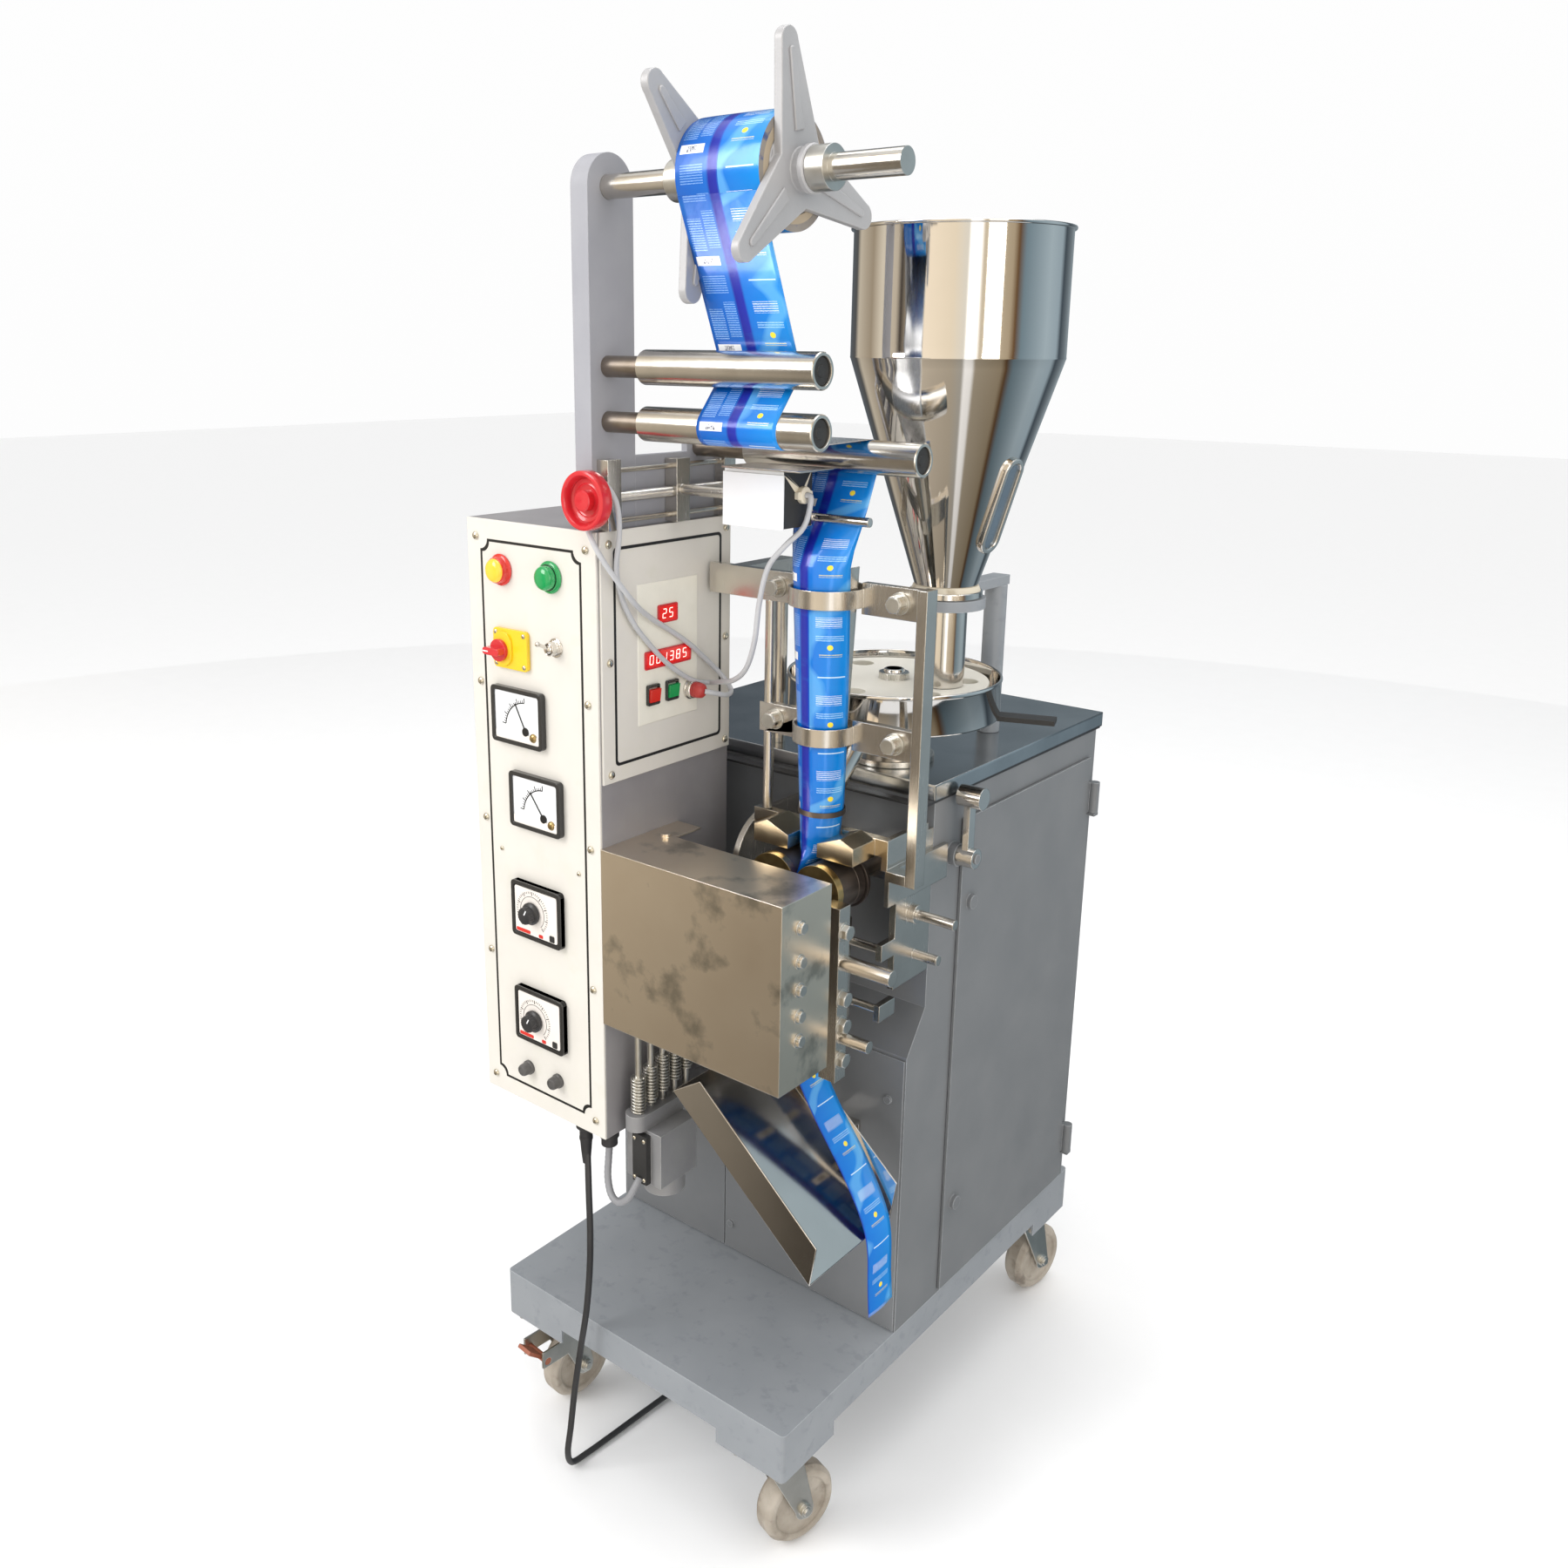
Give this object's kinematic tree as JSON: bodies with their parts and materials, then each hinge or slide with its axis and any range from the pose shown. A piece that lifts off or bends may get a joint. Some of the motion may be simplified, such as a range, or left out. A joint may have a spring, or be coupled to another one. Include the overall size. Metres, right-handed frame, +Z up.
{
  "type": "vertical form fill sealer",
  "caption": "Vertical form fill sealer on castors with a film reel, cone hopper, dosing disc, heated rollers, crimp jaws and a control box.",
  "frame": {"origin": "on the floor at the centre of the trolley", "axes": "+X right along the front, +Y towards the back, +Z up"},
  "size_m": [0.566, 0.9318, 1.6647],
  "materials": {
    "trolley_paint": "satin",
    "cabinet_paint": "satin",
    "box_paint": "satin",
    "panel_cream": "satin",
    "post_grey": "satin",
    "cast_grey": "matt",
    "stainless": "satin",
    "polished": "polished",
    "zinc_steel": "satin",
    "roller_steel": "satin",
    "cast_aluminium": "satin",
    "brass": "satin",
    "screw_metal": "satin",
    "instrument_black": "gloss",
    "red_plastic": "gloss",
    "green_plastic": "gloss",
    "black_plastic": "matt",
    "cream_nylon": "matt",
    "film_blue": "gloss",
    "cable_black": "matt",
    "cable_grey": "matt"
  },
  "bodies": {
    "machine_frame": {"trolley_base": "trolley_paint", "cabinet_shell": "cabinet_paint", "front_panels": "cabinet_paint", "table_top": "stainless", "drive_unit": "cast_grey", "control_box": "box_paint", "control_panel": "panel_cream", "display_panel": "panel_cream", "panel_screws": "screw_metal", "panel_instruments": "instrument_black", "reel_post": "post_grey", "roll_shafts": "zinc_steel", "slide_frame": "cast_aluminium", "hopper": "polished", "dosing_bowl": "stainless", "bowl_column": "cast_aluminium", "filling_tube": "stainless", "forming_frame": "stainless", "seal_frame": "stainless", "jaw_cover": "stainless", "chute": "stainless", "gear_motor": "cast_grey", "spring_arm": "cast_grey", "motor_conduit": "cable_grey", "mains_cable": "cable_black", "mains_coil": "cable_black", "mains_plug": "cable_black", "sensor_cable": "cable_grey", "film_web": "film_blue"},
    "reel": {"film_roll": "film_blue", "reel_stars": "cast_aluminium"},
    "roller_upper_body": {"roller_upper": "roller_steel"},
    "roller_middle_body": {"roller_middle": "roller_steel"},
    "roller_rear_body": {"roller_rear": "roller_steel"},
    "eye_slide": {"eye_carriage": "cast_aluminium", "eye_box": "black_plastic"},
    "handwheel_body": {"handwheel": "red_plastic"},
    "selector_body": {"selector_knob": "red_plastic"},
    "toggle_body": {"toggle_lever": "polished"},
    "upper_dial_body": {"upper_dial": "black_plastic"},
    "lower_dial_body": {"lower_dial": "black_plastic"},
    "red_rocker_body": {"red_rocker": "red_plastic"},
    "green_rocker_body": {"green_rocker": "green_plastic"},
    "seal_left_body": {"seal_roller_left": "brass"},
    "seal_right_body": {"seal_roller_right": "brass"},
    "left_jaw_body": {"left_jaw": "stainless"},
    "right_jaw_body": {"right_jaw": "stainless"},
    "dosing_body": {"dosing_disc": "cream_nylon"},
    "drain_body": {"drain_lever": "black_plastic"},
    "door_body": {"cabinet_door": "cabinet_paint"},
    "release_body": {"release_lever": "stainless"},
    "fork_front_left_body": {"fork_front_left": "zinc_steel"},
    "wheel_front_left_body": {"wheel_front_left": "cream_nylon"},
    "fork_front_right_body": {"fork_front_right": "zinc_steel"},
    "wheel_front_right_body": {"wheel_front_right": "cream_nylon"},
    "fork_rear_left_body": {"fork_rear_left": "zinc_steel"},
    "wheel_rear_left_body": {"wheel_rear_left": "cream_nylon"},
    "fork_rear_right_body": {"fork_rear_right": "zinc_steel"},
    "wheel_rear_right_body": {"wheel_rear_right": "cream_nylon"},
    "pedal_body": {"brake_pedal": "red_plastic"}
  },
  "joints": [
    {"name": "reel_spin", "type": "hinge", "parent": "machine_frame", "child": "reel", "pos_m": [0.145, -0.327, 1.549], "axis": [1, 0, 0], "continuous": true},
    {"name": "roller_upper_spin", "type": "hinge", "parent": "machine_frame", "child": "roller_upper_body", "pos_m": [0.145, -0.331, 1.374], "axis": [1, 0, 0], "continuous": true},
    {"name": "roller_middle_spin", "type": "hinge", "parent": "machine_frame", "child": "roller_middle_body", "pos_m": [0.145, -0.331, 1.318], "axis": [1, 0, 0], "continuous": true},
    {"name": "roller_rear_spin", "type": "hinge", "parent": "machine_frame", "child": "roller_rear_body", "pos_m": [0.145, -0.187, 1.286], "axis": [1, 0, 0], "continuous": true},
    {"name": "eye_travel", "type": "slide", "parent": "machine_frame", "child": "eye_slide", "axis": [0, 1, 0], "range_m": [-0.02, 0.008]},
    {"name": "handwheel_turn", "type": "hinge", "parent": "machine_frame", "child": "handwheel_body", "pos_m": [-0.032, -0.366, 1.24], "axis": [0, 1, 0], "range_deg": [-1800, 720]},
    {"name": "selector_turn", "type": "hinge", "parent": "machine_frame", "child": "selector_body", "pos_m": [-0.183, -0.361, 1.059], "axis": [0, -1, 0], "range_deg": [-90, 0]},
    {"name": "toggle_flip", "type": "hinge", "parent": "machine_frame", "child": "toggle_body", "pos_m": [-0.099, -0.368, 1.072], "axis": [1, 0, 0], "range_deg": [0, 50]},
    {"name": "upper_dial_turn", "type": "hinge", "parent": "machine_frame", "child": "upper_dial_body", "pos_m": [-0.143, -0.367, 0.747], "axis": [0, 1, 0], "range_deg": [0, 270]},
    {"name": "lower_dial_turn", "type": "hinge", "parent": "machine_frame", "child": "lower_dial_body", "pos_m": [-0.144, -0.367, 0.607], "axis": [0, 1, 0], "range_deg": [0, 270]},
    {"name": "red_rocker_tip", "type": "hinge", "parent": "machine_frame", "child": "red_rocker_body", "pos_m": [-0.0274, -0.277, 1.015], "axis": [0, 1, 0], "range_deg": [-16, 0]},
    {"name": "green_rocker_tip", "type": "hinge", "parent": "machine_frame", "child": "green_rocker_body", "pos_m": [-0.0274, -0.245, 1.015], "axis": [0, 1, 0], "range_deg": [-16, 0]},
    {"name": "seal_left_spin", "type": "hinge", "parent": "machine_frame", "child": "seal_left_body", "pos_m": [0.1145, -0.214, 0.819], "axis": [0, 1, 0], "continuous": true},
    {"name": "seal_right_spin", "type": "hinge", "parent": "machine_frame", "child": "seal_right_body", "pos_m": [0.1755, -0.214, 0.819], "axis": [0, 1, 0], "continuous": true},
    {"name": "left_jaw_open", "type": "slide", "parent": "machine_frame", "child": "left_jaw_body", "axis": [-1, 0, 0], "range_m": [0, 0.012]},
    {"name": "right_jaw_open", "type": "slide", "parent": "machine_frame", "child": "right_jaw_body", "axis": [1, 0, 0], "range_m": [0, 0.012]},
    {"name": "dosing_spin", "type": "hinge", "parent": "machine_frame", "child": "dosing_body", "pos_m": [0.13, -0.027, 1.01], "axis": [0, 0, 1], "continuous": true},
    {"name": "drain_turn", "type": "hinge", "parent": "machine_frame", "child": "drain_body", "pos_m": [0.2, 0.033, 0.966], "axis": [0, 0, 1], "range_deg": [-60, 0]},
    {"name": "door_swing", "type": "hinge", "parent": "machine_frame", "child": "door_body", "pos_m": [0.2385, 0.32, 0.538], "axis": [0, 0, 1], "range_deg": [0, 110]},
    {"name": "release_tilt", "type": "hinge", "parent": "machine_frame", "child": "release_body", "pos_m": [0.244, -0.042, 0.822], "axis": [1, 0, 0], "range_deg": [-30, 30]},
    {"name": "swivel_front_left", "type": "hinge", "parent": "machine_frame", "child": "fork_front_left_body", "pos_m": [-0.185, -0.305, 0.138], "axis": [0, 0, 1], "continuous": true},
    {"name": "spin_front_left", "type": "hinge", "parent": "fork_front_left_body", "child": "wheel_front_left_body", "pos_m": [-0.18238, -0.27511, 0.05], "axis": [0.9962, -0.0872, 0], "continuous": true},
    {"name": "swivel_front_right", "type": "hinge", "parent": "machine_frame", "child": "fork_front_right_body", "pos_m": [0.185, -0.305, 0.138], "axis": [0, 0, 1], "continuous": true},
    {"name": "spin_front_right", "type": "hinge", "parent": "fork_front_right_body", "child": "wheel_front_right_body", "pos_m": [0.19377, -0.27631, 0.05], "axis": [0.9563, -0.2924, 0], "continuous": true},
    {"name": "swivel_rear_left", "type": "hinge", "parent": "machine_frame", "child": "fork_rear_left_body", "pos_m": [-0.185, 0.305, 0.138], "axis": [0, 0, 1], "continuous": true},
    {"name": "spin_rear_left", "type": "hinge", "parent": "fork_rear_left_body", "child": "wheel_rear_left_body", "pos_m": [-0.19768, 0.33219, 0.05], "axis": [0.9063, 0.4226, 0], "continuous": true},
    {"name": "swivel_rear_right", "type": "hinge", "parent": "machine_frame", "child": "fork_rear_right_body", "pos_m": [0.185, 0.305, 0.138], "axis": [0, 0, 1], "continuous": true},
    {"name": "spin_rear_right", "type": "hinge", "parent": "fork_rear_right_body", "child": "wheel_rear_right_body", "pos_m": [0.19021, 0.33454, 0.05], "axis": [0.9848, -0.1736, 0], "continuous": true},
    {"name": "pedal_press", "type": "hinge", "parent": "fork_front_left_body", "child": "pedal_body", "pos_m": [-0.18796, -0.33887, 0.092], "axis": [0.9962, -0.0872, 0], "range_deg": [0, 20]}
  ],
  "couplings": [
    {"joint": "handwheel_turn", "follows": "eye_travel", "rad_per_m": 1570.8},
    {"joint": "seal_right_spin", "follows": "seal_left_spin", "ratio": -1},
    {"joint": "left_jaw_open", "follows": "right_jaw_open", "ratio": 1}
  ]
}
